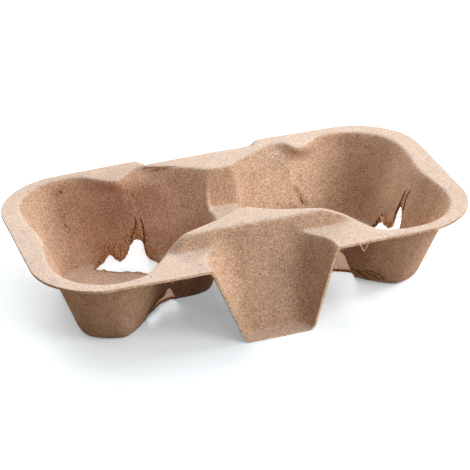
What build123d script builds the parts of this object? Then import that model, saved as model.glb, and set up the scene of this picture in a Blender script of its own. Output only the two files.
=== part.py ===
from build123d import *
import math
import os

# Two-cup carrier of moulded paper pulp, torn off along its front from a tray for four.
# One sheet of even thickness. The tray's length runs along X and the torn front faces -Y.
# Z = 0 is the surface that the tray stands on, and X = Y = 0 is the middle of its outline.
# The sheet is the mould form under its upper side, less the same form one wall lower.

# Overall sizes, in millimetres
tray_length = 213.0
tray_depth = 114.6
rim_height = 42.0
wall = 1.2
wall_share = 0.7
outline_radius = 31.0

# Pockets: the rim outline is taken at the flange, the foot outline at the table
pocket_end = 99.6
pocket_back = 52.5
pocket_front = -51.7
end_bump = 94.0
end_bump_y = -1.0
back_bump = 38.3
bump_x = 46.2
lobe_width = 17.3
inner_lobe_inset = 0.8
foot_end = 81.3
foot_back = 34.5
foot_front = -33.2
foot_front_end_x = 84.4
foot_front_end_y = -25.2
foot_end_bump = 77.5
foot_back_bump = 31.0
foot_bump_x = 47.0
foot_lobe_back = 14.0
foot_inner_lobe = 9.0
foot_flank_x = 41.0
pocket_floor_radius = 3.0
lip_radius = 2.5

# The two pockets differ a little: these sizes are given for the left and the right one
inner_lobe = (32.0, 41.5)
bend_x = (41.5, 46.0)
bend_y = (-30.3, -32.7)
front_lobe_x = (61.0, 58.0)
lobe_inset = (0.0, 2.0)
foot_lobe_front = (17.5, 22.5)
foot_reach = (0.0, 2.0)
foot_forward = (0.0, 0.8)
divider_foot = (-11.0, 15.0)
divider_foot_front = (-15.0, 15.0)

# Corner radii of the pockets, each at the flange and at the table
end_bump_radii = (45.0, 30.0)
back_corner_radii = (34.0, 13.0)
lobe_radii = (10.0, 5.0)
bump_radii = (6.0, 12.0)
inner_lobe_radii = (4.0, 5.0)
divider_back_radii = (4.0, 8.0)
divider_front_radii = (10.0, 8.0)
bend_radii = (8.0, 8.0)
front_lobe_radii = (12.0, 6.0)
front_corner_radii = (30.0, 10.0)

# Divider between the pockets, a little off the middle at the back
divider_back_x = 5.0
divider_front_x = -2.0
divider_top_half = 3.0
divider_height = 24.0
post_width = 15.0
post_face = 36.2
post_nose = 1.8
post_foot = 30.5
post_foot_inset = 5.5

# Ridge that rises over the flange between the pockets
ridge_rise = 7.0
ridge_apex = -15.0
ridge_front = -37.2
ridge_top_front = -33.5
ridge_left = -44.0
ridge_right = 47.5
ridge_end_run = 8.0
ridge_root = 5.0
ridge_share = 0.5
ridge_foot = -8.5
ridge_edge_radius = 3.0
ridge_corner_radius = 4.0

# Half well below the ridge, open at the front, whose floor is the front foot
well_rim_half = 29.7
well_foot_half = 15.5
well_foot_x = 2.3
well_rim_back = -36.5
well_foot_back = -50.5
well_rim_radius = 11.0
well_foot_radius = 3.0
well_rim_cut = 12.0
well_foot_cut = 3.0
well_floor_radius = 2.0

# Stretch of the back flange that is bent down between the pockets
dip_half = 27.5
dip_ramp = 4.5
dip_start = 51.0
dip_depth = 2.7

# Torn holes, each the plan outline of what is missing from the sheet there
left_back_hole = [
    (-61.9, 30.9), (-61.3, 32.5), (-59.3, 33.8), (-57.1, 34.4), (-55.2, 34.8), (-53.7, 34.8),
    (-52.4, 34.3), (-50.8, 33.2), (-48.9, 32.3), (-46.4, 32.7), (-44.4, 33.6), (-43.2, 34.4),
    (-42.7, 35.0), (-41.3, 35.9), (-39.7, 37.1), (-37.7, 37.9), (-36.1, 37.7), (-35.4, 37.1),
    (-35.3, 36.2), (-34.9, 34.4), (-33.3, 31.2), (-31.7, 28.6), (-30.9, 25.8), (-31.6, 21.8),
    (-34.6, 18.4), (-37.8, 17.2), (-40.2, 18.1), (-41.4, 20.0), (-43.1, 21.5), (-46.0, 21.8),
    (-47.6, 23.6), (-51.0, 23.8), (-54.3, 25.9), (-57.1, 27.4), (-57.8, 29.5), (-60.1, 29.0),
]
left_flank_gap = [
    (-33.8, -9.6), (-36.0, -12.2), (-37.6, -14.2), (-38.8, -15.0), (-40.1, -15.0), (-40.4, -13.6),
    (-41.8, -13.6), (-45.4, -16.7), (-48.4, -19.6), (-50.8, -22.4), (-53.0, -24.0),
    (-51.2, -19.6), (-47.6, -16.2), (-45.0, -13.8), (-41.7, -10.2), (-38.5, -8.8), (-35.3, -7.4),
]
right_flank_gap = [
    (39.2, -15.2), (41.8, -20.6), (44.2, -22.4), (45.7, -22.2), (46.9, -22.7), (48.1, -22.9),
    (48.9, -22.4), (49.9, -22.1), (51.4, -22.0), (52.6, -21.6), (53.6, -20.2), (54.6, -18.4),
    (55.2, -17.0), (54.6, -16.2), (51.9, -14.1), (49.3, -12.6), (47.3, -11.6), (43.0, -9.8),
    (38.6, -9.0),
]
right_end_hole = [
    (87.3, 2.7), (87.0, 1.0), (86.4, -0.8), (85.9, -2.1), (85.4, -3.3), (84.6, -4.1),
    (84.0, -4.2), (83.4, -5.0), (80.6, -6.4), (77.8, -7.4), (75.6, -3.2), (76.4, 3.0),
    (75.2, 9.0), (76.8, 14.2), (77.4, 18.6), (79.6, 20.6), (81.8, 18.4), (82.2, 17.3),
    (82.7, 15.0), (82.8, 12.5), (82.5, 10.2), (82.3, 7.4), (82.2, 5.2), (82.8, 2.7),
    (83.6, 2.3), (84.6, 2.6), (85.7, 3.3), (86.6, 3.2),
]

front = -tray_depth / 2
back = tray_depth / 2
tool_top = rim_height + ridge_rise + 4.0
clear = 20.0


def pocket_rim(side):
    """Corners of a pocket at the flange, each as x, y and corner radius."""
    k = 0 if side < 0 else 1
    lobe_back = pocket_back - lobe_inset[k]
    return [
        (side * end_bump, end_bump_y, end_bump_radii[0]),
        (side * pocket_end, lobe_back, back_corner_radii[0]),
        (side * (bump_x + lobe_width), lobe_back, lobe_radii[0]),
        (side * bump_x, back_bump, bump_radii[0]),
        (side * inner_lobe[k], pocket_back - inner_lobe_inset, inner_lobe_radii[0]),
        (divider_back_x + side * divider_top_half, post_face - post_nose, divider_back_radii[0]),
        (divider_front_x + side * divider_top_half, ridge_apex - 1.0, divider_front_radii[0]),
        (side * bend_x[k], bend_y[k], bend_radii[0]),
        (side * front_lobe_x[k], pocket_front, front_lobe_radii[0]),
        (side * pocket_end, pocket_front, front_corner_radii[0]),
    ]


def pocket_foot(side):
    """The same corners where the pocket meets the table."""
    k = 0 if side < 0 else 1
    front_y = foot_front - foot_forward[k]
    return [
        (side * foot_end_bump, end_bump_y / 2, end_bump_radii[1]),
        (side * foot_end, foot_back, back_corner_radii[1]),
        (side * (foot_bump_x + foot_lobe_back), foot_back, lobe_radii[1]),
        (side * foot_bump_x, foot_back_bump, bump_radii[1]),
        (side * (foot_bump_x - foot_inner_lobe), foot_back, inner_lobe_radii[1]),
        (divider_foot[k], post_foot - post_foot_inset, divider_back_radii[1]),
        (divider_foot_front[k], ridge_foot, divider_front_radii[1]),
        (side * foot_flank_x, ridge_foot, bend_radii[1]),
        (side * (foot_bump_x + foot_lobe_front[k]), front_y, front_lobe_radii[1]),
        (side * (foot_front_end_x + foot_reach[k]), foot_front_end_y - foot_forward[k],
         front_corner_radii[1]),
    ]


def at_height(rim, foot, z):
    """Corners at height z on the straight draft from the foot to the rim."""
    share = z / rim_height
    return [tuple(f + (r - f) * share for r, f in zip(a, b)) for a, b in zip(rim, foot)]


def grown(corners, amount):
    """Corners moved outwards by amount, measured square to each side."""
    count = len(corners)
    turns = [
        (corners[i][0] - corners[i - 1][0]) * (corners[(i + 1) % count][1] - corners[i][1])
        - (corners[i][1] - corners[i - 1][1]) * (corners[(i + 1) % count][0] - corners[i][0])
        for i in range(count)
    ]
    area = sum(
        corners[i - 1][0] * corners[i][1] - corners[i][0] * corners[i - 1][1] for i in range(count)
    )
    way = 1 if area > 0 else -1
    result = []
    for i, (x, y, radius) in enumerate(corners):
        before = Vector(x - corners[i - 1][0], y - corners[i - 1][1]).normalized()
        following = corners[(i + 1) % count]
        after = Vector(following[0] - x, following[1] - y).normalized()
        normal_1 = Vector(before.Y, -before.X) * way
        normal_2 = Vector(after.Y, -after.X) * way
        move = (normal_1 + normal_2) * (amount / (1 + normal_1.dot(normal_2)))
        swell = amount if turns[i] * way > 0 else -amount
        result.append((x + move.X, y + move.Y, max(radius + swell, 1.0)))
    return result


def soft_outline(corners, z):
    """One smooth closed curve through the start, middle and end of each rounded corner."""
    points = [Vector(x, y, z) for x, y, _ in corners]
    count = len(points)
    halves, reach = [], []
    for i, (_, _, radius) in enumerate(corners):
        to_last = (points[i - 1] - points[i]).normalized()
        to_next = (points[(i + 1) % count] - points[i]).normalized()
        half = (math.pi - math.acos(to_last.dot(to_next))) / 2
        halves.append(half)
        reach.append(radius * math.tan(half))
    limit = [1.0] * count
    for i in range(count):
        room = (points[(i + 1) % count] - points[i]).length * 0.8
        need = reach[i] + reach[(i + 1) % count]
        for j in (i, (i + 1) % count):
            limit[j] = min(limit[j], room / need)
    curve = []
    for i in range(count):
        to_last = (points[i - 1] - points[i]).normalized()
        to_next = (points[(i + 1) % count] - points[i]).normalized()
        run = reach[i] * min(limit[i], 1.0)
        radius = run / math.tan(halves[i])
        inset = radius / math.cos(halves[i]) - radius
        middle = points[i] + (to_last + to_next).normalized() * inset
        curve += [points[i] + to_last * run, middle, points[i] + to_next * run]
    return make_face(Wire([Spline(*curve, periodic=True)]))


def draft_share(drop):
    """How far the steep walls move outwards when the form drops by one wall."""
    return drop * wall_share


def pocket_tool(side, drop):
    """The space inside a pocket, with its floor rounded into its wall."""
    rim, foot = pocket_rim(side), pocket_foot(side)
    grow = draft_share(drop)
    low = soft_outline(grown(at_height(rim, foot, wall), grow), wall - drop)
    high = soft_outline(grown(at_height(rim, foot, tool_top), grow), tool_top - drop)
    space = loft([low, high], ruled=True)
    return fillet(space.faces().sort_by(Axis.Z)[0].edges(), pocket_floor_radius + drop)


def plate(z, *points):
    """Flat many-sided face at height z."""
    return Pos(0, 0, z) * make_face(Polyline(*points, close=True))


def divider_tool(drop):
    """The space over the low divider, back to the upright face of the post."""
    grow = draft_share(drop)
    left = divider_back_x - post_width / 2 - grow
    right = divider_back_x + post_width / 2 + grow
    lean = (post_face - post_foot) / (rim_height - divider_height)
    high_back = post_face + lean * (tool_top - rim_height) + grow
    high_front = ridge_apex - lean * (tool_top - rim_height) - grow
    low_front = ridge_apex + lean * (rim_height - divider_height) - grow
    reach = post_width
    low = plate(
        divider_height - drop,
        (divider_front_x - reach, low_front), (divider_front_x + reach, low_front),
        (right, post_foot + grow), (left, post_foot + grow),
    )
    high = plate(
        tool_top - drop,
        (divider_front_x - reach, high_front), (divider_front_x + reach, high_front),
        (right, high_back), (left, high_back),
    )
    return loft([low, high], ruled=True)


def well_tool(drop):
    """The half well, open at the front, with conical back corners."""
    grow = draft_share(drop)
    beyond = front - clear

    def outline(z):
        share = z / rim_height
        side = well_foot_half + (well_rim_half - well_foot_half) * share + grow
        rear = well_foot_back + (well_rim_back - well_foot_back) * share + grow
        cut = well_foot_cut + (well_rim_cut - well_foot_cut) * share
        middle = well_foot_x * (1 - share)
        left, right = middle - side, middle + side
        face = make_face(Polyline(
            (left, beyond), (right, beyond), (right, rear - cut), (right - cut, rear),
            (left + cut, rear), (left, rear - cut), close=True,
        ))
        corners = [v for v in face.vertices() if v.Y > beyond + 1.0]
        radius = well_foot_radius + (well_rim_radius - well_foot_radius) * share
        return Pos(0, 0, z - drop) * fillet(corners, radius)

    space = loft([outline(wall), outline(tool_top)], ruled=True)
    floor = space.faces().sort_by(Axis.Z)[0]
    edges = [e for e in floor.edges() if e.center().Y > beyond + 1.0]
    return fillet(edges, well_floor_radius + drop)


def level(edge, z):
    """Whether an edge lies flat at height z."""
    box = edge.bounding_box()
    return abs(box.min.Z - z) < 0.001 and abs(box.max.Z - z) < 0.001


def ridge(drop):
    """The raised arch between the pockets, later cut back by them."""
    inset = drop * ridge_share
    run = ridge_end_run * ridge_root / ridge_rise
    lean = (ridge_top_front - ridge_front) * ridge_root / ridge_rise
    rear = post_foot - clear
    left, right, nose = ridge_left + inset, ridge_right - inset, ridge_front + inset
    top_left, top_right = left + ridge_end_run, right - ridge_end_run
    top_nose = ridge_top_front + inset
    low = plate(
        rim_height - ridge_root - drop,
        (left - run, nose - lean), (right + run, nose - lean), (right + run, rear), (left - run, rear),
    )
    high = plate(
        rim_height + ridge_rise - drop,
        (top_left, top_nose), (top_right, top_nose), (top_right, rear), (top_left, rear),
    )
    block = loft([low, high], ruled=True)
    upright = [
        e for e in block.edges()
        if e.bounding_box().size.Z > 1.0 and e.center().Y < rear - 1.0
    ]
    return fillet(upright, ridge_corner_radius)


def base_block(drop):
    """The flange's block with the ridge on it, before anything is hollowed out."""
    block = plate(-clear, (-tray_length / 2, front), (tray_length / 2, front),
                  (tray_length / 2, back), (-tray_length / 2, back))
    body = extrude(block, amount=clear + rim_height - drop, dir=(0, 0, 1)) + ridge(drop)
    rear = post_foot - clear - 0.5
    seam = [
        e for e in body.edges()
        if level(e, rim_height - drop) and abs(e.center().X) < tray_length / 4
        and front + 1.0 < e.center().Y < rear
    ]
    body = fillet(seam, ridge_edge_radius + drop)
    top = rim_height + ridge_rise - drop
    crown = [e for e in body.edges() if level(e, top) and e.center().Y < rear]
    return fillet(crown, ridge_edge_radius)


def edge_dip(drop):
    """Wedge that lowers the back flange towards its outer edge."""
    reach = back - dip_start
    angle = math.degrees(math.atan2(dip_depth, reach))
    rise = clear / 2
    half = dip_half
    slope = dip_ramp / dip_depth
    top_half = half + slope * rise
    shape = Polyline((-half, 0), (half, 0), (top_half, rise), (-top_half, rise), close=True)
    wedge = extrude(Plane.XZ * make_face(shape), amount=-clear)
    return Pos(0, dip_start, rim_height - drop) * Rot(-angle, 0, 0) * wedge


def rim_edges(body, side):
    """Edges where one pocket's wall meets the flange and the ridge."""
    walls = [f for f in body.faces() if f.area > rim_height * tray_depth and side * f.center().X > 0]
    smooth = [f for f in walls if f.geom_type == GeomType.BSPLINE]
    return [e for f in smooth for e in f.edges() if e.bounding_box().min.Z > rim_height - 0.05]


def moulding(drop):
    """Everything below the sheet's upper side (drop 0) or lower side (drop of one wall)."""
    body = base_block(drop) - pocket_tool(-1, drop) - pocket_tool(1, drop) - divider_tool(drop)
    if drop == 0:
        for side in (-1, 1):
            body = fillet(rim_edges(body, side), lip_radius)
    body = body - well_tool(drop)
    return body - edge_dip(drop)


def outline_prism():
    """Upright prism over the tray's outline with its rounded corners."""
    plan = RectangleRounded(tray_length, tray_depth, outline_radius)
    return extrude(Pos(0, 0, -clear) * plan, amount=2 * clear + rim_height)


def torn(outline):
    """Upright prism over a torn hole's outline, up to just under the flange."""
    return extrude(plate(-clear, *outline), amount=clear + rim_height - 4 * wall, dir=(0, 0, 1))


tray = moulding(0) - moulding(wall)
tray = tray & outline_prism()
for hole in (left_back_hole, left_flank_gap, right_flank_gap, right_end_hole):
    tray = tray - torn(hole)
os.makedirs("parts", exist_ok=True)
export_step(tray, "parts/pulp_tray.step")
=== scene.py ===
import math

import bmesh
import bpy
import numpy as np
from mathutils import Matrix, Vector, noise
from mathutils.bvhtree import BVHTree
from mathutils.geometry import delaunay_2d_cdt
from mathutils.kdtree import KDTree


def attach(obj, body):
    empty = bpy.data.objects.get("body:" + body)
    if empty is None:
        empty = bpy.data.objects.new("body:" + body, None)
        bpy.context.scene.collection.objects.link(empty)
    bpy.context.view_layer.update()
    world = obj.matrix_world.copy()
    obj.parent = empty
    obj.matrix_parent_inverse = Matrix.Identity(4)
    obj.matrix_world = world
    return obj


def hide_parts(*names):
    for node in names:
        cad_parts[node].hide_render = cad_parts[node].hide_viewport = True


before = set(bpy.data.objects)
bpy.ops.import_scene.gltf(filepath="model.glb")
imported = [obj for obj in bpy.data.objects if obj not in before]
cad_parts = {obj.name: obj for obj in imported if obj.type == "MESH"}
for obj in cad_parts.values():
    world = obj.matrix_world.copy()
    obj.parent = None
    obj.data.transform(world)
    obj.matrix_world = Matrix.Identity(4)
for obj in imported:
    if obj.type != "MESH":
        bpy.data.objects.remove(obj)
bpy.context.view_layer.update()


# Form of the tray: one sheet of moulded paper pulp, sucked wet onto a mould and dried.
# The sheet is single in plan everywhere, so its outlines and the heights of its two
# faces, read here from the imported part, say all there is to know about it.

MM = 0.001
SAME_PLACE = 1e-6
LEAST_RISE = 0.02
LARGEST_LEAN = 0.004
LEAST_AREA = 2.0
RAY_START = 0.2

solid = bmesh.new()
solid.from_mesh(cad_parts["pulp_tray"].data)
bmesh.ops.remove_doubles(solid, verts=solid.verts, dist=SAME_PLACE)
solid.normal_update()
solid_tree = BVHTree.FromBMesh(solid)


def sheet_outlines(bm):
    """Closed loops, in plan and in millimetres, along which the sheet ends."""
    following = {}
    for face in bm.faces:
        if face.normal.z < LEAST_RISE:
            continue
        for loop in face.loops:
            others = [f for f in loop.edge.link_faces if f is not face]
            if others and abs(others[0].normal.z) < LARGEST_LEAN:
                following[loop.vert] = loop.link_loop_next.vert
    closed = []
    while following:
        start, vert = following.popitem()
        loop = [start.co.xy / MM]
        while vert is not start and vert in following:
            loop.append(vert.co.xy / MM)
            vert = following.pop(vert)
        if vert is start:
            closed.append(np.array(loop))
    return closed


def loop_area(loop):
    """Signed area inside a closed plan loop."""
    x, y = loop[:, 0], loop[:, 1]
    return 0.5 * float(np.sum(x * np.roll(y, -1) - y * np.roll(x, -1)))


def height(x, y, side):
    """Height of the sheet's upper (side 1) or lower (side -1) face, or None beyond it."""
    hit = solid_tree.ray_cast(Vector((x * MM, y * MM, side * RAY_START)), Vector((0, 0, -side)))
    return None if hit[0] is None else hit[0].z / MM


found = [loop for loop in sheet_outlines(solid) if abs(loop_area(loop)) > LEAST_AREA]
found.sort(key=lambda loop: -abs(loop_area(loop)))


# Outlines of the sheet: its rim, moulded smooth all round but for the torn front edge, and
# the torn holes. Where the pulp was torn it came apart in fibres, and such a frayed edge
# only ever eats into the sheet, so it stays within the part's own form.

EDGE_STEP = 0.75
TORN_STEP = 0.42
CROWDED = 0.6
FRONT_FRAY, FRONT_GRAIN = 0.45, 1.6
HOLE_FRAY, HOLE_GRAIN = 0.40, 0.8
LEAST_BITE = 0.05
FRAY_ROUGHNESS, FRAY_GAP, FRAY_OCTAVES = 1.0, 2.0, 3
FRAY_LEVEL = 3.0
FRONT_BAND = 0.05
NEAR_ZERO = 1e-9
BATCH = 4000


def resampled(loop, step):
    """The closed loop with its long sides divided and its crowded points thinned."""
    kept = [loop[0]]
    for point in list(loop[1:]) + [loop[0]]:
        reach = float(np.linalg.norm(point - kept[-1]))
        if reach < CROWDED * step:
            continue
        parts = max(1, round(reach / step))
        for k in range(1, parts + 1):
            kept.append(kept[-1] + (point - kept[-1]) / (parts - k + 1))
    return np.array(kept[:-1])


def frayed(loop, depth, grain):
    """The loop eaten into the sheet, which lies to its left, by noise up to the depth."""
    along = np.roll(loop, -1, axis=0) - np.roll(loop, 1, axis=0)
    along /= np.maximum(np.linalg.norm(along, axis=1), NEAR_ZERO)[:, None]
    inward = np.stack([-along[:, 1], along[:, 0]], axis=1)
    places = [Vector((p[0] / grain, p[1] / grain, FRAY_LEVEL)) for p in loop]
    bite = 0.5 + 0.5 * np.array([
        noise.fractal(p, FRAY_ROUGHNESS, FRAY_GAP, FRAY_OCTAVES) for p in places
    ])
    return loop + inward * (np.clip(bite, LEAST_BITE, 1.0) * depth)[:, None]


rim = resampled(found[0], EDGE_STEP)
on_front = rim[:, 1] < rim[:, 1].min() + FRONT_BAND
torn_y = frayed(rim, FRONT_FRAY, FRONT_GRAIN)[:, 1]
rim[:, 1] = np.where(on_front, torn_y, rim[:, 1])
holes = [frayed(resampled(loop, TORN_STEP), HOLE_FRAY, HOLE_GRAIN) for loop in found[1:]]
loops = [rim] + holes
edge_points = np.concatenate(loops)
edge_count = len(edge_points)
edge_tree = KDTree(edge_count)
for index, point in enumerate(edge_points):
    edge_tree.insert((point[0], point[1], 0.0), index)
edge_tree.balance()


def edge_pairs():
    """Each outline point with the one after it, both by their number."""
    base = 0
    for loop in loops:
        for k in range(len(loop)):
            yield base + k, base + (k + 1) % len(loop)
        base += len(loop)


def edge_gap(points):
    """How far each plan point lies from the nearest outline point."""
    return np.array([edge_tree.find((p[0], p[1], 0.0))[2] for p in points])


def inside(points):
    """Which plan points lie on the sheet, counting the sides to their right."""
    result = np.zeros(len(points), bool)
    for loop in loops:
        a, b = loop, np.roll(loop, -1, axis=0)
        for start in range(0, len(points), BATCH):
            x = points[start:start + BATCH, 0][:, None]
            y = points[start:start + BATCH, 1][:, None]
            spans = (a[:, 1] > y) != (b[:, 1] > y)
            with np.errstate(divide="ignore", invalid="ignore"):
                cut = a[:, 0] + (y - a[:, 1]) * (b[:, 0] - a[:, 0]) / (b[:, 1] - a[:, 1])
            crossed = np.sum(spans & (x < cut), axis=1) % 2
            result[start:start + BATCH] ^= crossed.astype(bool)
    return result


# Marks that use has left in the pulp: cracks up the walls above the holes, torn layers on the
# flanks, creases along the bent rim, and scuffs that show the raw fibre. The cracks, layers
# and creases are real, and their dark lines are painted shade in the split, edge and fold.
# Each is the axis it is looked along, and its points, as x, y, z and half width.

cracks = [
    ("y", [(-35.4, 35.4, 4.0, 0.95), (-35.0, 37.3, 9.1, 0.85), (-35.1, 39.2, 14.3, 0.75),
           (-35.3, 40.1, 17.1, 0.65), (-35.8, 41.0, 20.0, 0.5)]),
    ("y", [(-42.7, 34.6, 8.2, 0.65), (-41.2, 36.4, 13.2, 0.65), (-39.4, 38.3, 16.3, 0.6),
           (-38.4, 39.6, 19.0, 0.55), (-38.6, 40.2, 21.5, 0.4)]),
    ("x", [(83.0, 1.0, 12.4, 1.5), (85.1, 3.1, 17.5, 1.35), (86.8, 2.9, 22.1, 1.3),
           (88.8, 2.4, 27.2, 1.05), (89.7, 2.4, 29.8, 0.7)]),
    ("x", [(86.8, -2.2, 21.9, 0.9), (87.9, -1.1, 25.1, 0.9), (88.9, -0.6, 27.8, 0.8),
           (90.4, -1.7, 31.6, 0.6)]),
    ("x", [(80.7, 19.4, 2.4, 1.1), (82.0, 17.7, 6.1, 1.1), (83.3, 16.1, 10.0, 0.8)]),
    ("y", [(47.6, 35.6, 16.1, 0.35), (48.2, 35.1, 14.6, 0.5), (48.8, 34.6, 12.6, 0.5)]),
]
layers = [
    ("y", [(50.3, -23.0, 7.5, 0.5), (52.6, -25.0, 6.9, 0.6), (55.1, -26.4, 5.2, 0.6),
           (57.6, -26.9, 2.4, 0.5)]),
    ("y", [(53.0, -25.3, 7.3, 0.5), (55.9, -28.2, 7.4, 0.55), (59.1, -30.6, 6.1, 0.55),
           (62.0, -31.2, 3.6, 0.5)]),
    ("y", [(55.2, -28.6, 9.0, 0.4), (58.3, -31.2, 8.6, 0.5), (61.4, -32.6, 7.0, 0.5),
           (64.2, -32.7, 3.6, 0.4)]),
    ("y", [(-53.5, -27.5, 8.5, 0.5), (-50.7, -23.8, 8.2, 0.55), (-46.1, -18.4, 8.0, 0.55),
           (-42.6, -16.2, 9.6, 0.4)]),
    ("y", [(-72.4, 49.7, 36.1, 0.6), (-71.9, 49.5, 35.0, 0.5)]),
    ("y", [(-72.3, 42.7, 20.7, 0.5), (-71.8, 42.5, 19.6, 0.5)]),
]
creases = [
    ("z", [(-29.2, 50.4, 40.6, 0.6), (-24.4, 48.8, 41.2, 0.55), (-19.7, 47.3, 41.5, 0.5),
           (-13.7, 45.2, 41.8, 0.4)]),
    ("z", [(-27.0, 48.4, 40.0, 0.4), (-23.0, 47.6, 40.4, 0.4), (-18.6, 46.2, 40.8, 0.35)]),
]
scuffs = [
    ("y", [(45.6, 37.4, 21.0, 3.0), (50.4, 34.6, 12.5, 4.0)]),
    ("y", [(-39.0, 36.4, 10.0, 4.6), (-38.2, 39.2, 19.5, 2.6)]),
    ("x", [(82.6, 14.6, 7.0, 3.2), (82.6, 8.0, 9.5, 3.4)]),
    ("x", [(84.0, 2.0, 13.0, 2.2), (88.5, 1.2, 27.5, 1.6)]),
    ("y", [(50.5, -24.0, 5.5, 2.6), (59.5, -30.0, 5.0, 3.0)]),
    ("y", [(-33.5, 35.5, 6.5, 2.2), (-30.4, 31.0, 2.0, 2.6)]),
    ("y", [(-55.0, 35.5, 7.5, 2.4), (-44.8, 33.4, 7.0, 2.6)]),
]
LINE_DEPTH = 8.0
LINE_STEP = 0.24
LINE_REACH = 1.5
WOBBLE, WOBBLE_PITCH, WOBBLE_SEED = 0.45, 0.9, 5
noise.seed_set(WOBBLE_SEED)


def nearness(points, lines):
    """Per point, 1 on a line and 0 from its half width on, as seen along the line's axis."""
    wobble = np.array([noise.noise_vector(Vector(p) * WOBBLE_PITCH) for p in points]) * WOBBLE
    result = np.zeros(len(points))
    for axis, line in lines:
        skip = "xyz".index(axis)
        seen = [k for k in range(3) if k != skip]
        for start, end in zip(line, line[1:]):
            a, run = np.array(start)[seen], np.array(end)[seen] - np.array(start)[seen]
            off = points[:, seen] + wobble[:, seen] - a
            share = np.clip(off @ run / (run @ run), 0.0, 1.0)
            width = start[3] + (end[3] - start[3]) * share
            gap = np.linalg.norm(off - share[:, None] * run, axis=1)
            mask = np.clip(1.0 - gap / width, 0.0, 1.0)
            on_this_wall = np.abs(points[:, skip] - start[skip]) < LINE_DEPTH
            result = np.maximum(result, np.where(on_this_wall, mask, 0.0))
    return result


def line_points():
    """Plan points close together round every narrow line, so that the net can hold it."""
    spots = []
    for _, line in cracks + layers + creases:
        for start, end in zip(line, line[1:]):
            steps = max(1, round(math.dist(start[:2], end[:2]) / LINE_STEP))
            run = np.array(end[:2]) - start[:2]
            spots += [np.array(start[:2]) + run * k / steps for k in range(steps + 1)]
    count = int(LINE_REACH / LINE_STEP)
    around = [(a, b) for a in range(-count, count + 1) for b in range(-count, count + 1)]
    cells = set()
    for x, y in spots:
        i, j = round(x / LINE_STEP), round(y / LINE_STEP)
        cells |= {(i + a, j + b) for a, b in around}
    return np.array(sorted(cells)) * LINE_STEP


# Skins of the sheet: its upper and lower face, each a net of triangles over the plan, as
# the wet fibre settled on the mould's mesh. The upper net is fine where the sheet is
# steep and twice as coarse where it is level, and both are finer round the marks.

FINE = 0.56
ROW_SHARE = 0.866
EDGE_CLEARANCE = 0.45
STEEP = 0.16
NET_PRECISION = 1e-6
NEIGHBOURS = ((1, 0), (-1, 0), (0, 1), (0, -1), (2, 0), (-2, 0), (0, 2), (0, -2))


def cells_of(points):
    """The square of the plan that each point falls in."""
    return [(round(x / FINE), round(y / FINE)) for x, y in points]


def heights(points, side):
    """Heights at plan points, taken from the nearest point that has one where there is none."""
    read = [height(p[0], p[1], side) for p in points]
    z = np.array([np.nan if value is None else value for value in read])
    missing = np.flatnonzero(np.isnan(z))
    known = np.flatnonzero(~np.isnan(z))
    for m in missing:
        z[m] = z[known[np.argmin(np.sum((points[known] - points[m]) ** 2, axis=1))]]
    return z


def skin(interior, side):
    """Points, heights and triangles of one face of the sheet; the outlines' points come first."""
    points = np.concatenate([edge_points, interior])
    corners, sides = [Vector(p) for p in points], list(edge_pairs())
    made = delaunay_2d_cdt(corners, sides, [], 0, NET_PRECISION)
    if len(made[0]) != len(points):
        raise SystemExit("an outline of the sheet crosses itself")
    triangles = np.array(made[2])
    triangles = triangles[inside(points[triangles].mean(axis=1))]
    return points, heights(points, side), triangles


half = np.abs(rim).max(axis=0)
columns = int(2 * half[0] / FINE) + 2
rows = int(2 * half[1] / (FINE * ROW_SHARE)) + 2
lattice = np.array([
    (-half[0] + (i + 0.5 * (j % 2)) * FINE, -half[1] + j * FINE * ROW_SHARE)
    for j in range(rows) for i in range(columns)
])
coarse = np.array([
    i % 2 == (j // 2) % 2 and j % 2 == 0
    for j in range(rows) for i in range(columns)
])
usable = inside(lattice) & (edge_gap(lattice) > EDGE_CLEARANCE * FINE)
close_points = line_points()
close_points = close_points[inside(close_points) & (edge_gap(close_points) > LINE_STEP)]
close_cells = set(cells_of(close_points))
apart = np.array([cell not in close_cells for cell in cells_of(lattice)])

grid = np.full(len(lattice), np.nan)
grid[usable] = heights(lattice[usable], 1)
grid = grid.reshape(rows, columns)
slope = np.zeros_like(grid)
for axis, step in ((0, FINE * ROW_SHARE), (1, FINE)):
    change = np.abs(np.nan_to_num(np.gradient(grid, step, axis=axis), nan=1.0))
    slope = np.maximum(slope, change)
steepest = slope.copy()
for shift in NEIGHBOURS:
    steepest = np.maximum(steepest, np.roll(slope, shift, axis=(0, 1)))
steep = steepest.reshape(-1) > STEEP

upper_points, upper_z, upper_tris = skin(
    np.concatenate([lattice[usable & apart & (steep | coarse)], close_points]), 1)
lower_points, lower_z, lower_tris = skin(
    np.concatenate([lattice[usable & apart & coarse], close_points]), -1)


# Softness of the pulp: felted fibre rounds over the corners of its mould and warps as it
# dries, so the heights are blended, and the tray settles a little, with one corner low.
# A place is x, y and its spread, and for the settling also how far it rises or sinks.

SOFTNESS = 0.9
WIDE_SOFTNESS = 3.0
LEAST_GAP = 0.02
PULL = 0.7
ROUNDS = 2.2
soft_places = [
    (-21.5, -45.0, 5.5),
    (-19.0, -40.0, 4.5),
]
settled_places = [
    (-101.0, 50.0, 20.0, -1.5),
    (98.0, 50.0, 22.0, -1.0),
    (-97.0, -52.0, 24.0, 0.9),
]
FLANGE_Z = 42.0
WAVE_PITCH, WAVE_LEVEL, WAVE_HEIGHT = 26.0, 7.0, 0.35


def squared_gap(points, x, y):
    """Squared plan distance of each point from a place."""
    return (points[:, 0] - x) ** 2 + (points[:, 1] - y) ** 2


def fading(gap, spread):
    """1 at a place and less round it, by the squared distance and the spread."""
    return np.exp(-gap / (2 * spread ** 2))


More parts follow.
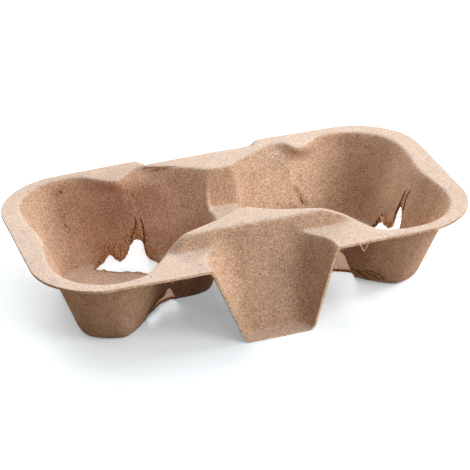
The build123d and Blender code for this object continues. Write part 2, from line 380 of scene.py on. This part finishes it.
def blended(points, z, triangles, reach):
    """Heights after each point has been drawn to its neighbours over about the reach."""
    pairs = np.concatenate([triangles[:, (0, 1)], triangles[:, (1, 2)], triangles[:, (2, 0)]])
    pairs = np.unique(np.sort(pairs, axis=1), axis=0)
    a, b = pairs[:, 0], pairs[:, 1]
    weight = 1.0 / np.maximum(np.sum((points[a] - points[b]) ** 2, axis=1), LEAST_GAP)
    count = len(points)
    total = np.bincount(a, weight, count) + np.bincount(b, weight, count)
    links = np.bincount(a, minlength=count) + np.bincount(b, minlength=count)
    share = np.minimum(PULL, PULL * FINE ** 2 * total / np.maximum(links, 1))
    z = z.copy()
    for _ in range(int(ROUNDS * reach ** 2 / FINE ** 2)):
        pull = np.bincount(a, weight * z[b], count) + np.bincount(b, weight * z[a], count)
        z += share * (pull / np.maximum(total, NEAR_ZERO) - z)
    return z


def settled(points, z, triangles):
    """Heights of one skin after the blend, the softly bent places and the slow warp."""
    z = blended(points, z, triangles, SOFTNESS)
    wide = blended(points, z, triangles, WIDE_SOFTNESS)
    for x, y, spread in soft_places:
        gap = squared_gap(points, x, y)
        z = z + (wide - z) * np.exp(-(gap / (2 * spread ** 2)) ** 2)
    for x, y, spread, amount in settled_places:
        near = fading(squared_gap(points, x, y), spread)
        z = z + amount * near * np.clip(z / FLANGE_Z, 0.0, 1.0)
    places = [Vector((p[0] / WAVE_PITCH, p[1] / WAVE_PITCH, WAVE_LEVEL)) for p in points]
    waves = np.array([noise.noise(place) for place in places])
    return z + WAVE_HEIGHT * waves * np.clip(z / FLANGE_Z, 0.0, 1.0)


# Back walls of the two pockets: each bulges inward at the rim and is an even curve of pulp
# below it, standing further back on its outer side. The bulge is taken out below the rim
# by columns along x and levels up z, a millimetre apart, and the change fades at its ends.

WALL_FROM, WALL_TO = 14.0, 78.0
WALL_NEAR_Y, WALL_FAR_Y, WALL_STEP = 26.0, 57.0, 0.5
WALL_EVENNESS, WALL_KERNEL = 13.0, 24
WALL_FADE = 8.0
RIM_FADE_Z, RIM_FADE = 41.5, 8.0
FOOT_FADE_Z, FOOT_FADE = 4.0, 14.0
WALL_TURN, WALL_TURN_X, WALL_TURN_SPREAD, WALL_TURN_BACK = 3.0, 48.0, 24.0, -0.3
TURN_END, TURN_FADE = 10.0, 12.0
BACK_Y = 24.0
STEP_UP = 0.001
INSIDE_LAST = 1.001
wall_columns = np.arange(WALL_FROM, WALL_TO, 1.0)
wall_levels = np.arange(0.0, FLANGE_Z, 1.0)


def eased(share):
    """The share with a soft start and end."""
    return share ** 2 * (3 - 2 * share)


def wall_change(side):
    """How far one back wall moves in y, by column and level, for its bump to go."""
    wall = np.zeros((len(wall_columns), len(wall_levels)))
    places = np.arange(WALL_NEAR_Y, WALL_FAR_Y, WALL_STEP)
    for i, x in enumerate(wall_columns):
        read = [(y, height(side * x, y, 1)) for y in places]
        kept = [(y, z) for y, z in read if z is not None]
        rising = np.maximum.accumulate(np.array([z for _, z in kept]))
        rising = rising + STEP_UP * np.arange(len(kept))
        wall[i] = np.interp(wall_levels, rising, [y for y, _ in kept])
    gap = np.arange(-WALL_KERNEL, WALL_KERNEL + 1)
    kernel = np.exp(-(gap / WALL_EVENNESS) ** 2 / 2)
    kernel = kernel / kernel.sum()
    padded = np.pad(wall, ((WALL_KERNEL, WALL_KERNEL), (0, 0)), mode="edge")
    even = [np.convolve(padded[:, k], kernel, "valid") for k in range(len(wall_levels))]
    return np.stack(even, axis=1) - wall


def evened(side, change, verts):
    """Verts with the bump of one back wall kept at the rim and smoothed away below it."""
    x, z = verts[:, 0] * side, verts[:, 2]
    i = np.clip(x - wall_columns[0], 0.0, len(wall_columns) - INSIDE_LAST)
    k = np.clip(z, 0.0, len(wall_levels) - INSIDE_LAST)
    i0, k0 = i.astype(int), k.astype(int)
    u, v = i - i0, k - k0
    move = (change[i0, k0] * (1 - u) * (1 - v) + change[i0 + 1, k0] * u * (1 - v)
            + change[i0, k0 + 1] * (1 - u) * v + change[i0 + 1, k0 + 1] * u * v)
    move = move * np.clip((WALL_TO - x) / WALL_FADE, 0.0, 1.0)
    turned = np.sin(np.clip((x - WALL_TURN_X) / WALL_TURN_SPREAD, -1.0, 1.0) * math.pi / 2)
    turned = np.clip(turned, WALL_TURN_BACK, 1.0)
    move = move + WALL_TURN * turned * np.clip((WALL_TO + TURN_END - x) / TURN_FADE, 0.0, 1.0)
    below_rim = eased(np.clip((RIM_FADE_Z - z) / RIM_FADE, 0.0, 1.0))
    above_foot = eased(np.clip((z - FOOT_FADE_Z) / FOOT_FADE, 0.0, 1.0))
    from_divider = np.clip((x - WALL_FROM) / WALL_FADE, 0.0, 1.0)
    share = from_divider * below_rim * above_foot
    verts = verts.copy()
    verts[:, 1] += np.where(verts[:, 1] > BACK_Y, share * move, 0.0)
    return verts


upper = np.column_stack([upper_points, settled(upper_points, upper_z, upper_tris)])
lower = np.column_stack([lower_points, settled(lower_points, lower_z, lower_tris)])
for side in (-1, 1):
    change = wall_change(side)
    upper, lower = evened(side, change, upper), evened(side, change, lower)


# Sheet: the whole tray, one piece of pulp 1.2 mm thick, its skins closed along every edge.
# A raw place is x, y, its spread, and how much further the pulp is raw round a tear; a
# place of painted light and shade is x, y, z, its spread, and how much lighter (above 0)
# or darker (below 0) the pulp's colour is painted there.

EDGE_ROWS = 2
FRONT_TEAR_Y = -56.5
# Painted light on the side strip of the torn front edge, which stands in shade.
FRONT_EDGE_PAINTED_LIGHT = 0.8
RAW_REACH = 0.7
HOLE_RAW, FRONT_RAW = 0.85, 0.30
raw_places = [
    (-46.0, 34.0, 10.0, 2.6),
    (-36.0, 36.0, 3.5, 1.6),
    (-46.0, -21.0, 8.0, 2.2),
    (52.0, -22.0, 8.0, 0.9),
    (81.0, 12.0, 5.0, 0.9),
]
# Painted light and shade: lighter and darker patches on the pockets' walls and floors and on the
# leg's front.
painted_shading_places = [
    (-55.0, 38.0, 24.0, 16.0, -0.30),
    (-40.0, 41.0, 20.0, 13.0, -0.14),
    (-30.0, 41.0, 33.0, 9.0, -0.28),
    (-79.0, 29.0, 24.0, 8.0, 0.40),
    (-78.0, -30.0, 15.0, 12.0, 0.16),
    (-80.0, -5.0, 3.0, 13.0, 0.18),
    (-6.0, -54.0, 20.0, 11.0, 0.20),
    (34.0, 38.0, 20.0, 12.0, 0.22),
    (50.0, 36.0, 16.0, 12.0, 0.32),
    (43.5, 40.5, 37.0, 4.5, 0.30),
    (58.0, 36.0, 17.0, 9.0, 0.20),
    (77.0, 31.5, 14.0, 6.5, -0.28),
    (87.0, 22.0, 18.0, 5.0, 0.35),
    (90.0, 22.0, 32.0, 5.0, 0.20),
    (81.0, -33.0, 20.0, 9.0, 0.22),
]


def painted_shading_at(points):
    """Per point, how much painted light (above 0) or painted shade (below 0) its colour gets."""
    result = np.zeros(len(points))
    for x, y, z, spread, amount in painted_shading_places:
        gap = np.sum((points - (x, y, z)) ** 2, axis=1)
        result += amount * fading(gap, spread)
    return result


def linked(name, mesh):
    """An object at the origin that shows the mesh."""
    made = bpy.data.objects.new(name, mesh)
    bpy.context.scene.collection.objects.link(made)
    return made


def marked(mesh, name, values):
    """Store one number for each point of the mesh."""
    mesh.attributes.new(name, "FLOAT", "POINT").data.foreach_set("value", values)


between = [
    upper[:edge_count] + (lower[:edge_count] - upper[:edge_count]) * k / (EDGE_ROWS + 1)
    for k in range(1, EDGE_ROWS + 1)
]
verts = np.concatenate([upper, lower] + between)
skin_count = len(upper) + len(lower)
ring_starts = [0] + [skin_count + k * edge_count for k in range(EDGE_ROWS)] + [len(upper)]
faces = [tuple(int(v) for v in f) for f in upper_tris]
faces += [tuple(int(v) + len(upper) for v in f[::-1]) for f in lower_tris]
strip_start = len(faces)
for this, after in edge_pairs():
    for high, low in zip(ring_starts, ring_starts[1:]):
        faces.append((high + this, low + this, low + after, high + after))

sheet_mesh = bpy.data.meshes.new("pulp_sheet")
sheet_mesh.from_pydata((verts * MM).tolist(), [], faces)
sheet_mesh.polygons.foreach_set("use_smooth", [True] * len(faces))
sheet = linked("pulp_sheet", sheet_mesh)

torn_tree = KDTree(edge_count)
for index in range(len(rim), edge_count):
    torn_tree.insert(Vector(upper[index]), index)
torn_tree.balance()
raw_reach = np.full(len(verts), RAW_REACH)
for x, y, spread, more in raw_places:
    raw_reach += more * fading(squared_gap(verts, x, y), spread)
torn = np.array([
    math.exp(-torn_tree.find(Vector(v))[2] / reach) for v, reach in zip(verts, raw_reach)
])
at_hole = np.arange(edge_count) >= len(rim)
at_front = edge_points[:, 1] < FRONT_TEAR_Y
no_skin = np.zeros(skin_count, bool)
hole_strip = np.append(no_skin, np.tile(at_hole, EDGE_ROWS))
front_strip = np.append(no_skin, np.tile(at_front, EDGE_ROWS))
torn[hole_strip] = HOLE_RAW
torn[front_strip] = np.maximum(torn[front_strip], FRONT_RAW)
marked(sheet_mesh, "torn", torn)
for name, lines in (("crack", cracks), ("layer", layers), ("crease", creases), ("scuff", scuffs)):
    marked(sheet_mesh, name, nearness(verts, lines))
# Painted light and shade per point, with the front edge's strip painted lighter still.
marked(sheet_mesh, "painted_shading", painted_shading_at(verts) + FRONT_EDGE_PAINTED_LIGHT * front_strip)

shaped = bmesh.new()
shaped.from_mesh(sheet_mesh)
shaped.faces.ensure_lookup_table()
for face in shaped.faces[strip_start:]:
    for edge in face.edges:
        if any(f.index < strip_start for f in edge.link_faces):
            edge.smooth = False
bmesh.ops.recalc_face_normals(shaped, faces=shaped.faces)
shaped.to_mesh(sheet_mesh)
shaped.free()
solid.free()

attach(sheet, "root")
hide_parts("pulp_tray")


# Pulp of the sheet: pale tan felt of beaten paper, with fine specks, dark flecks and short
# fibres. It is painted paler where it faces up above the floor and deeper on its walls and
# low floors, as painted light and shade. Torn places are raw, browner and more fibrous. A
# range is what a value is read from and, if not 0 to 1, what it is moved to.

# The wall colours are the painted shade and the flat colours the painted light of one pulp.
WALL_DEEP, WALL_PALE = (0.365, 0.213, 0.131, 1.0), (0.755, 0.513, 0.363, 1.0)
FLAT_DEEP, FLAT_PALE = (0.57, 0.42, 0.325, 1.0), (0.83, 0.66, 0.545, 1.0)
FLECK_BROWN, THREAD_BROWN = (0.16, 0.08, 0.045, 1.0), (0.26, 0.14, 0.08, 1.0)
RAW_DEEP, RAW_PALE = (0.17, 0.062, 0.024, 1.0), (0.70, 0.37, 0.185, 1.0)
# Painted shade: the dark brown of the crack, layer and crease lines.
LINE_SHADE_BROWN = (0.14, 0.052, 0.020, 1.0)
# The painted light and shade changes red least, so painted shade deepens the pulp to a richer
# brown.
PAINTED_SHADING_BY_CHANNEL = (0.72, 1.0, 1.08)
ALL_CHANNELS = (1.0, 1.0, 1.0)
STREAK_STRETCH = (1.0, 1.0, 0.45)
FLECK_SHARE, THREAD_SHARE = 0.70, 0.35
FINE_RELIEF, LINE_RELIEF = 0.8, 2.5
BUMP_STRENGTH, BUMP_DEPTH = 0.6, 0.22 * MM

SPECK_RANGE, CLOUD_RANGE = (0.40, 0.60, 0.0, 0.85), (0.35, 0.65, 0.0, 0.15)
FLECK_EDGE, FLECK_CHOICE = (0.24, 0.10), (0.80, 0.86)
THREAD_EDGE, THREAD_CHOICE = (0.014, 0.004), (0.50, 0.58)
FLOOR_RANGE, FACING_RANGE = (3.0, 12.0, 0.60, 1.0), (0.70, 0.97)
RAW_RAGGED, SCUFF_RAGGED = (0.3, 0.7, -0.30, 0.30), (0.3, 0.7, -0.5, 0.3)
RAW_RANGE, SCUFF_RANGE = (0.30, 0.62, 0.0, 0.92), (0.25, 0.65, 0.0, 0.6)
STREAK_RANGE = (0.40, 0.60)
CRACK_RANGE, LAYER_RANGE = (0.10, 0.50, 0.0, 0.95), (0.12, 0.50, 0.0, 0.88)
CREASE_RANGE = (0.15, 0.7, 0.0, 0.60)


def node(tree, kind, settings=None, **sockets):
    """A new node whose sockets are linked to other outputs or set to values.

    A socket goes by its name, with _ for a space, or by its number as i0, i1 and so on.
    """
    made = tree.nodes.new(kind if "Node" in kind else "ShaderNode" + kind)
    for name, value in (settings or {}).items():
        setattr(made, name, value)
    for name, value in sockets.items():
        numbered = name[0] == "i" and name[1:].isdigit()
        socket = made.inputs[int(name[1:]) if numbered else name.replace("_", " ")]
        if isinstance(value, bpy.types.NodeSocket):
            tree.links.new(value, socket)
        else:
            socket.default_value = value
    return made


def tree_with(name, kind, inputs, outputs):
    """A node group with named inputs and outputs, each given as name and socket type."""
    tree = bpy.data.node_groups.new(name, kind)
    for label, socket in inputs:
        tree.interface.new_socket(label, in_out="INPUT", socket_type="NodeSocket" + socket)
    for label, socket in outputs:
        tree.interface.new_socket(label, in_out="OUTPUT", socket_type="NodeSocket" + socket)
    given = tree.nodes.new("NodeGroupInput").outputs
    return tree, given, tree.nodes.new("NodeGroupOutput").inputs


def cleared(owner):
    """The empty node tree of a new material or world."""
    owner.use_nodes = True
    owner.node_tree.nodes.clear()
    return owner.node_tree


def ramp(tree, value, low, high, to_low=0.0, to_high=1.0):
    """The value moved from one range to another, clamped at both ends."""
    made = node(tree, "MapRange", i0=value, i1=low, i2=high, i3=to_low, i4=to_high)
    return made.outputs[0]


def maths(tree, operation, first, second=0.0):
    """One arithmetic step."""
    return node(tree, "Math", {"operation": operation}, i0=first, i1=second).outputs[0]


def vector_maths(tree, operation, first, **others):
    """One step on a vector or colour."""
    made = node(tree, "VectorMath", {"operation": operation}, i0=first, **others)
    return made.outputs[0]


def tint(tree, share, first, second):
    """A colour between two colours."""
    made = node(tree, "Mix", {"data_type": "RGBA"}, i0=share, i6=first, i7=second)
    return made.outputs[2]


def grained(tree, place, **sockets):
    """Noise at the place, which is in millimetres."""
    return node(tree, "TexNoise", Vector=place, **sockets).outputs[0]


def place_in_mm(tree):
    """Where a point is on the object, in millimetres."""
    here = node(tree, "TexCoord").outputs["Object"]
    return vector_maths(tree, "SCALE", here, Scale=1.0 / MM)


felt, given, gives = tree_with(
    "felt", "ShaderNodeTree",
    [("Place", "Vector")],
    [("Tone", "Float"), ("Height", "Float"), ("Flecks", "Float"), ("Fibres", "Float")],
)
place = given["Place"]
fine = grained(felt, place, Scale=1.35, Detail=2.0, Roughness=0.9)
wide = grained(felt, place, Scale=0.16, Detail=2.0, Roughness=0.5)
specks, clouds = ramp(felt, fine, *SPECK_RANGE), ramp(felt, wide, *CLOUD_RANGE)
felt.links.new(maths(felt, "ADD", specks, clouds), gives["Tone"])
grit = grained(felt, place, Scale=1.5, Detail=2.0, Roughness=0.6)
fine_relief = maths(felt, "MULTIPLY", fine, FINE_RELIEF)
felt.links.new(maths(felt, "ADD", grit, fine_relief), gives["Height"])
cells = node(felt, "TexVoronoi", Vector=place, Scale=0.42)
chosen = node(felt, "SeparateColor", Color=cells.outputs["Color"]).outputs[0]
dots = ramp(felt, cells.outputs["Distance"], *FLECK_EDGE)
few = ramp(felt, chosen, *FLECK_CHOICE)
felt.links.new(maths(felt, "MULTIPLY", dots, few), gives["Flecks"])
worm = grained(felt, place, Scale=0.42, Detail=1.0, Distortion=0.6)
from_middle = maths(felt, "ABSOLUTE", maths(felt, "SUBTRACT", worm, 0.5))
patch = grained(felt, place, Scale=0.6, Detail=0.0)
threads, some = ramp(felt, from_middle, *THREAD_EDGE), ramp(felt, patch, *THREAD_CHOICE)
felt.links.new(maths(felt, "MULTIPLY", threads, some), gives["Fibres"])

pulp = bpy.data.materials.new("moulded_pulp")
tree = cleared(pulp)
place = place_in_mm(tree)
grain = node(tree, "Group", {"node_tree": felt}, Place=place).outputs
# Painted light: faces that point up and stand above the floor take the paler flat colours.
facing = node(tree, "SeparateXYZ", i0=node(tree, "NewGeometry").outputs["Normal"]).outputs[2]
above_floor = ramp(tree, node(tree, "SeparateXYZ", i0=place).outputs[2], *FLOOR_RANGE)
painted_top_light = maths(tree, "MULTIPLY", ramp(tree, facing, *FACING_RANGE), above_floor)
deep, pale = tint(tree, painted_top_light, WALL_DEEP, FLAT_DEEP), tint(tree, painted_top_light, WALL_PALE, FLAT_PALE)
colour = tint(tree, grain["Tone"], deep, pale)
for mask, share, brown in (("Flecks", FLECK_SHARE, FLECK_BROWN),
                           ("Fibres", THREAD_SHARE, THREAD_BROWN)):
    colour = tint(tree, maths(tree, "MULTIPLY", grain[mask], share), colour, brown)

crack, layer, crease, scuff, raw, painted_shading = (
    node(tree, "Attribute", {"attribute_name": name}).outputs["Fac"]
    for name in ("crack", "layer", "crease", "scuff", "torn", "painted_shading")
)
# Painted light and shade: the colour is made lighter or darker by the per-point attribute.
by_painted_shading = vector_maths(tree, "MULTIPLY_ADD", painted_shading, i1=PAINTED_SHADING_BY_CHANNEL, i2=ALL_CHANNELS)
colour = vector_maths(tree, "MULTIPLY", colour, i1=by_painted_shading)

ragged = grained(tree, place, Scale=0.8, Detail=3.0, Roughness=0.7)
raw_edge = maths(tree, "ADD", raw, ramp(tree, ragged, *RAW_RAGGED))
scuff_edge = maths(tree, "ADD", scuff, ramp(tree, ragged, *SCUFF_RAGGED))
scuffed = ramp(tree, scuff_edge, *SCUFF_RANGE)
raw_share = maths(tree, "MAXIMUM", ramp(tree, raw_edge, *RAW_RANGE), scuffed)
drawn_out = vector_maths(tree, "MULTIPLY", place, i1=STREAK_STRETCH)
streaks = grained(tree, drawn_out, Scale=1.3, Detail=3.0, Roughness=0.75, Distortion=0.8)
raw_tone = ramp(tree, streaks, *STREAK_RANGE)
colour = tint(tree, raw_share, colour, tint(tree, raw_tone, RAW_DEEP, RAW_PALE))

# Painted shade along the cracks, torn layers and creases, which also sink a little in the bump.
painted_line_shade = ramp(tree, crack, *CRACK_RANGE)
painted_line_shade = maths(tree, "MAXIMUM", painted_line_shade, ramp(tree, layer, *LAYER_RANGE))
painted_line_shade = maths(tree, "MAXIMUM", painted_line_shade, ramp(tree, crease, *CREASE_RANGE))
colour = tint(tree, painted_line_shade, colour, LINE_SHADE_BROWN)
relief = maths(tree, "ADD", grain["Height"], maths(tree, "MULTIPLY", raw_share, raw_tone))
relief = maths(tree, "SUBTRACT", relief, maths(tree, "MULTIPLY", painted_line_shade, LINE_RELIEF))
bump = node(tree, "Bump", Strength=BUMP_STRENGTH, Distance=BUMP_DEPTH, Height=relief).outputs[0]
skin_shader = node(tree, "BsdfPrincipled", Base_Color=colour, Roughness=0.93, Normal=bump,
                   Specular_IOR_Level=0.12)
node(tree, "OutputMaterial", Surface=skin_shader.outputs[0])
sheet_mesh.materials.append(pulp)


# Torn fibres: short bent fibres of raw pulp that stand out where the sheet came apart.
# Geometry Nodes put them on points along the torn edges, turned to each point's aim,
# which leads out of the sheet. None stands so low that it would reach the table.

FIBRE_LENGTH = 1.15 * MM
FIBRE_RADIUS = 0.075 * MM
FIBRE_BEND = 0.35 * MM
FIBRE_SEED = 5
FIBRE_ELBOW = 0.55
FIBRE_STEPS, FIBRE_SIDES = 4, 3
FIBRE_SMALLEST, FIBRE_LARGEST = 0.35, 1.5
FULL_TURN = 6.283
FIBRE_CLEARANCE = 2.0
PER_HOLE_POINT = 2
FRONT_EVERY = 2
ROOT_FROM, ROOT_TO, ROOT_SINK = 0.1, 0.9, 0.1
AIM_SCATTER = 0.55
PLACES_SEED = 11
LEAST_AIM = 1e-6
FIBRE_DEEP, FIBRE_PALE = (0.50, 0.27, 0.14, 1.0), (0.90, 0.70, 0.52, 1.0)
FIBRE_SHADE = (0.35, 0.65)
NOWHERE = (0.0, 0.0, 0.0)

raw_pulp = bpy.data.materials.new("raw_pulp")
tree = cleared(raw_pulp)
shade = ramp(tree, grained(tree, place_in_mm(tree), Scale=0.9, Detail=2.0), *FIBRE_SHADE)
raw_shader = node(tree, "BsdfPrincipled", Base_Color=tint(tree, shade, FIBRE_DEEP, FIBRE_PALE),
                  Roughness=0.95, Specular_IOR_Level=0.1)
node(tree, "OutputMaterial", Surface=raw_shader.outputs[0])

outward = np.zeros((edge_count, 3))
for a, b, c in upper_tris:
    for this, others in ((a, (b, c)), (b, (c, a)), (c, (a, b))):
        for other in others:
            if this < edge_count <= other:
                outward[this] += upper[this] - upper[other]
outward /= np.maximum(np.linalg.norm(outward, axis=1), LEAST_AIM)[:, None]

draw = np.random.default_rng(PLACES_SEED)
torn_edge = [k for k in range(edge_count) if at_hole[k]] * PER_HOLE_POINT
torn_edge += [k for k in range(0, edge_count, FRONT_EVERY) if at_front[k]]
torn_edge = np.array([k for k in torn_edge if lower[k, 2] > FIBRE_CLEARANCE])
depth = draw.uniform(ROOT_FROM, ROOT_TO, len(torn_edge))[:, None]
roots = upper[torn_edge] * (1 - depth) + lower[torn_edge] * depth
aims = outward[torn_edge] + draw.normal(0.0, AIM_SCATTER, (len(torn_edge), 3))
root_mesh = bpy.data.meshes.new("torn_fibres")
root_mesh.from_pydata(((roots - ROOT_SINK * outward[torn_edge]) * MM).tolist(), [], [])
aim_values = root_mesh.attributes.new("aim", "FLOAT_VECTOR", "POINT").data
aim_values.foreach_set("vector", aims.astype(np.float32).ravel())
fibres = linked("torn_fibres", root_mesh)

strands, given, gives = tree_with(
    "fibres_on_edge", "GeometryNodeTree",
    [("Geometry", "Geometry"), ("Length", "Float"), ("Radius", "Float"), ("Bend", "Float"),
     ("Seed", "Int"), ("Material", "Material")],
    [("Geometry", "Geometry")],
)
elbow_height = maths(strands, "MULTIPLY", given["Length"], FIBRE_ELBOW)
elbow = node(strands, "CombineXYZ", X=given["Bend"], Z=elbow_height).outputs[0]
tip = node(strands, "CombineXYZ", Y=given["Bend"], Z=given["Length"]).outputs[0]
bent = node(strands, "GeometryNodeCurveQuadraticBezier", Resolution=FIBRE_STEPS,
            Start=NOWHERE, Middle=elbow, End=tip).outputs[0]
ring = node(strands, "GeometryNodeCurvePrimitiveCircle", Resolution=FIBRE_SIDES,
            Radius=given["Radius"]).outputs[0]
strand = node(strands, "GeometryNodeCurveToMesh", Curve=bent, Profile_Curve=ring,
              Fill_Caps=True).outputs[0]
sizes = node(strands, "FunctionNodeRandomValue", {"data_type": "FLOAT"}, Seed=given["Seed"],
             i2=FIBRE_SMALLEST, i3=FIBRE_LARGEST).outputs[1]
spins = node(strands, "FunctionNodeRandomValue", {"data_type": "FLOAT_VECTOR"},
             Seed=given["Seed"], i0=NOWHERE, i1=(0.0, 0.0, FULL_TURN)).outputs[0]
aim = node(strands, "GeometryNodeInputNamedAttribute", {"data_type": "FLOAT_VECTOR"},
           Name="aim").outputs[0]
turned = node(strands, "FunctionNodeAlignRotationToVector", {"axis": "Z"}, Rotation=spins,
              Vector=aim).outputs[0]
spread = node(strands, "GeometryNodeInstanceOnPoints", Points=given["Geometry"],
              Instance=strand, Rotation=turned, Scale=sizes).outputs[0]
real = node(strands, "GeometryNodeRealizeInstances", Geometry=spread).outputs[0]
coated = node(strands, "GeometryNodeSetMaterial", Geometry=real,
              Material=given["Material"]).outputs[0]
strands.links.new(coated, gives[0])

growing = fibres.modifiers.new("fibres_on_edge", "NODES")
growing.node_group = strands
identifiers = {
    item.name: item.identifier
    for item in strands.interface.items_tree if item.in_out == "INPUT"
}
for label, value in (("Length", FIBRE_LENGTH), ("Radius", FIBRE_RADIUS), ("Bend", FIBRE_BEND),
                     ("Seed", FIBRE_SEED), ("Material", raw_pulp)):
    growing[identifiers[label]] = value
depsgraph = bpy.context.evaluated_depsgraph_get()
grown = bpy.data.meshes.new_from_object(fibres.evaluated_get(depsgraph), depsgraph=depsgraph)
fibres.modifiers.remove(growing)
fibres.data = grown
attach(fibres, "root")


# Shreds: thin strips of the pulp's skin that hang where they tore loose, one nib at the
# front edge and one curled over the small hole in the end wall. Each is a closed flat
# ribbon along its points, which give x, y, z and half width.

SHRED_HALF_THICKNESS = 0.22
LEAST_LEVEL = 0.2
shreds = [
    [(41.0, -56.9, 41.2, 0.50), (41.6, -57.2, 39.8, 0.45), (42.3, -57.4, 38.4, 0.36),
     (43.0, -57.4, 37.3, 0.22)],
    [(45.0, -56.9, 41.2, 0.50), (44.4, -57.2, 39.8, 0.42), (43.7, -57.4, 38.5, 0.34),
     (43.0, -57.4, 37.3, 0.22)],
    [(83.4, 15.8, 9.2, 0.5), (82.6, 14.0, 10.3, 0.9), (82.1, 12.6, 10.5, 1.1),
     (81.9, 11.0, 10.1, 1.1), (82.0, 9.6, 8.8, 0.9), (82.3, 9.0, 7.6, 0.5)],
]


def ribbon(bm, line):
    """A closed flat ribbon along the line, with its width level."""
    rings = []
    for k, (x, y, z, width) in enumerate(line):
        ahead, behind = line[min(k + 1, len(line) - 1)], line[max(k - 1, 0)]
        run = (Vector(ahead[:3]) - Vector(behind[:3])).normalized()
        level = Vector((run.y, -run.x, 0.0))
        level = level.normalized() if level.length > LEAST_LEVEL else Vector((1.0, 0.0, 0.0))
        thick = run.cross(level).normalized() * SHRED_HALF_THICKNESS
        across = level * width
        corners = (across + thick, -across + thick, -across - thick, across - thick)
        here = Vector((x, y, z))
        rings.append([bm.verts.new((here + corner) * MM) for corner in corners])
    for this, after in zip(rings, rings[1:]):
        for i in range(4):
            j = (i + 1) % 4
            bm.faces.new((this[i], this[j], after[j], after[i]))
    bm.faces.new(rings[0][::-1])
    bm.faces.new(rings[-1])


shaped = bmesh.new()
for line in shreds:
    ribbon(shaped, line)
bmesh.ops.recalc_face_normals(shaped, faces=shaped.faces)
shred_mesh = bpy.data.meshes.new("torn_shreds")
shaped.to_mesh(shred_mesh)
shaped.free()
shred_mesh.materials.append(raw_pulp)
strips = linked("torn_shreds", shred_mesh)
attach(strips, "root")


# Table: a plain matt white top that the tray stands on. The camera sees it near white,
# with the tray's shadow on it, while the light that it throws back up onto the pulp is
# that of a duller, warmer top.

TABLE_HALF = 6
TABLE_WHITE, TABLE_GLOW = (0.92, 0.96, 0.98, 1.0), (0.275, 0.305, 0.315, 1.0)
TABLE_BOUNCE = (0.46, 0.38, 0.31, 1.0)

floor_mesh = bpy.data.meshes.new("table")
corners = [(x * TABLE_HALF, y * TABLE_HALF, 0) for x, y in ((-1, -1), (1, -1), (1, 1), (-1, 1))]
floor_mesh.from_pydata(corners, [], [(0, 1, 2, 3)])
floor = linked("table", floor_mesh)
table_white = bpy.data.materials.new("table_white")
tree = cleared(table_white)
direct = node(tree, "LightPath").outputs["Is Camera Ray"]
seen_table = node(tree, "AddShader",
                  i0=node(tree, "BsdfDiffuse", Color=TABLE_WHITE).outputs[0],
                  i1=node(tree, "Emission", Color=TABLE_GLOW).outputs[0])
lit_table = node(tree, "BsdfDiffuse", Color=TABLE_BOUNCE)
table_mix = node(tree, "MixShader", Fac=direct, i1=lit_table.outputs[0], i2=seen_table.outputs[0])
node(tree, "OutputMaterial", Surface=table_mix.outputs[0])
floor_mesh.materials.append(table_white)


# Studio: a white background that lights nothing, and square softboxes aimed at the tray.
# The strong ones stand low at its right and its back, as its shadow on the table shows.
# Each is a name, its angles around and above the tray, and its power.

WHITE = (1.0, 1.0, 1.0, 1.0)
BOX_SIZE = 0.9
BOX_REACH = 1.8
BOX_AIM = (0.0, 0.0, 0.02)

world = bpy.data.worlds.new("studio")
bpy.context.scene.world = world
tree = cleared(world)
rays = node(tree, "LightPath").outputs
straight = maths(tree, "MAXIMUM", rays["Is Camera Ray"], rays["Is Transmission Ray"])
ambient = node(tree, "Background", Color=WHITE, Strength=0.0)
background = node(tree, "Background", Color=WHITE, Strength=1.0)
sky = node(tree, "MixShader", Fac=straight, i1=ambient.outputs[0], i2=background.outputs[0])
node(tree, "OutputWorld", Surface=sky.outputs[0])

for name, around, above, power in (
    ("right", 90.0, 25.0, 24.3),
    ("back", 180.0, 25.0, 20.7),
    ("right_front", 45.0, 25.0, 15.0),
    ("left_back_high", 225.0, 58.0, 7.2),
    ("front_high", 0.0, 58.0, 6.6),
    ("left_back", 225.0, 25.0, 4.2),
    ("back_high", 180.0, 58.0, 3.0),
    ("front", 0.0, 25.0, 1.5),
):
    lamp = bpy.data.lights.new(name, "AREA")
    lamp.shape = "SQUARE"
    lamp.size = BOX_SIZE
    lamp.energy = power
    holder = linked(name, lamp)
    turn, rise = math.radians(around), math.radians(above)
    flat = math.cos(rise)
    aim = Vector((-math.sin(turn) * flat, math.cos(turn) * flat, -math.sin(rise)))
    holder.location = Vector(BOX_AIM) - aim * BOX_REACH
    holder.rotation_mode = "QUATERNION"
    holder.rotation_quaternion = aim.to_track_quat("-Z", "Y")


# Camera: a long lens in front of the tray and above it, fitted to the tray's outline,
# flange and feet. Azimuth, elevation and roll turn it; its shifts and distance are in
# millimetres, and its focus is in pixels, of which the picture's side has IMAGE_SIDE.

AZIMUTH, ELEVATION, ROLL = math.radians(-18.626), math.radians(29.744), math.radians(-1.252)
SHIFT_RIGHT, SHIFT_UP, DISTANCE = -0.439, 20.929, 980.06
FOCUS = 2019.08
IMAGE_SIDE = 470
SENSOR = 36.0

back = Vector((
    math.sin(AZIMUTH) * math.cos(ELEVATION),
    -math.cos(AZIMUTH) * math.cos(ELEVATION),
    math.sin(ELEVATION),
))
flat_right = Vector((math.cos(AZIMUTH), math.sin(AZIMUTH), 0.0))
flat_up = back.cross(flat_right)
right = flat_right * math.cos(ROLL) + flat_up * math.sin(ROLL)
up = flat_up * math.cos(ROLL) - flat_right * math.sin(ROLL)
lens = bpy.data.cameras.new("camera")
lens.sensor_width = SENSOR
lens.lens = SENSOR * FOCUS / IMAGE_SIDE
lens.clip_start, lens.clip_end = 0.01, 50.0
camera = linked("camera", lens)
turn = Matrix((right, up, back)).transposed().to_4x4()
stand = (right * SHIFT_RIGHT + up * SHIFT_UP + back * DISTANCE) * MM
camera.matrix_world = Matrix.Translation(stand) @ turn
bpy.context.scene.camera = camera
bpy.context.scene.view_settings.view_transform = "Standard"
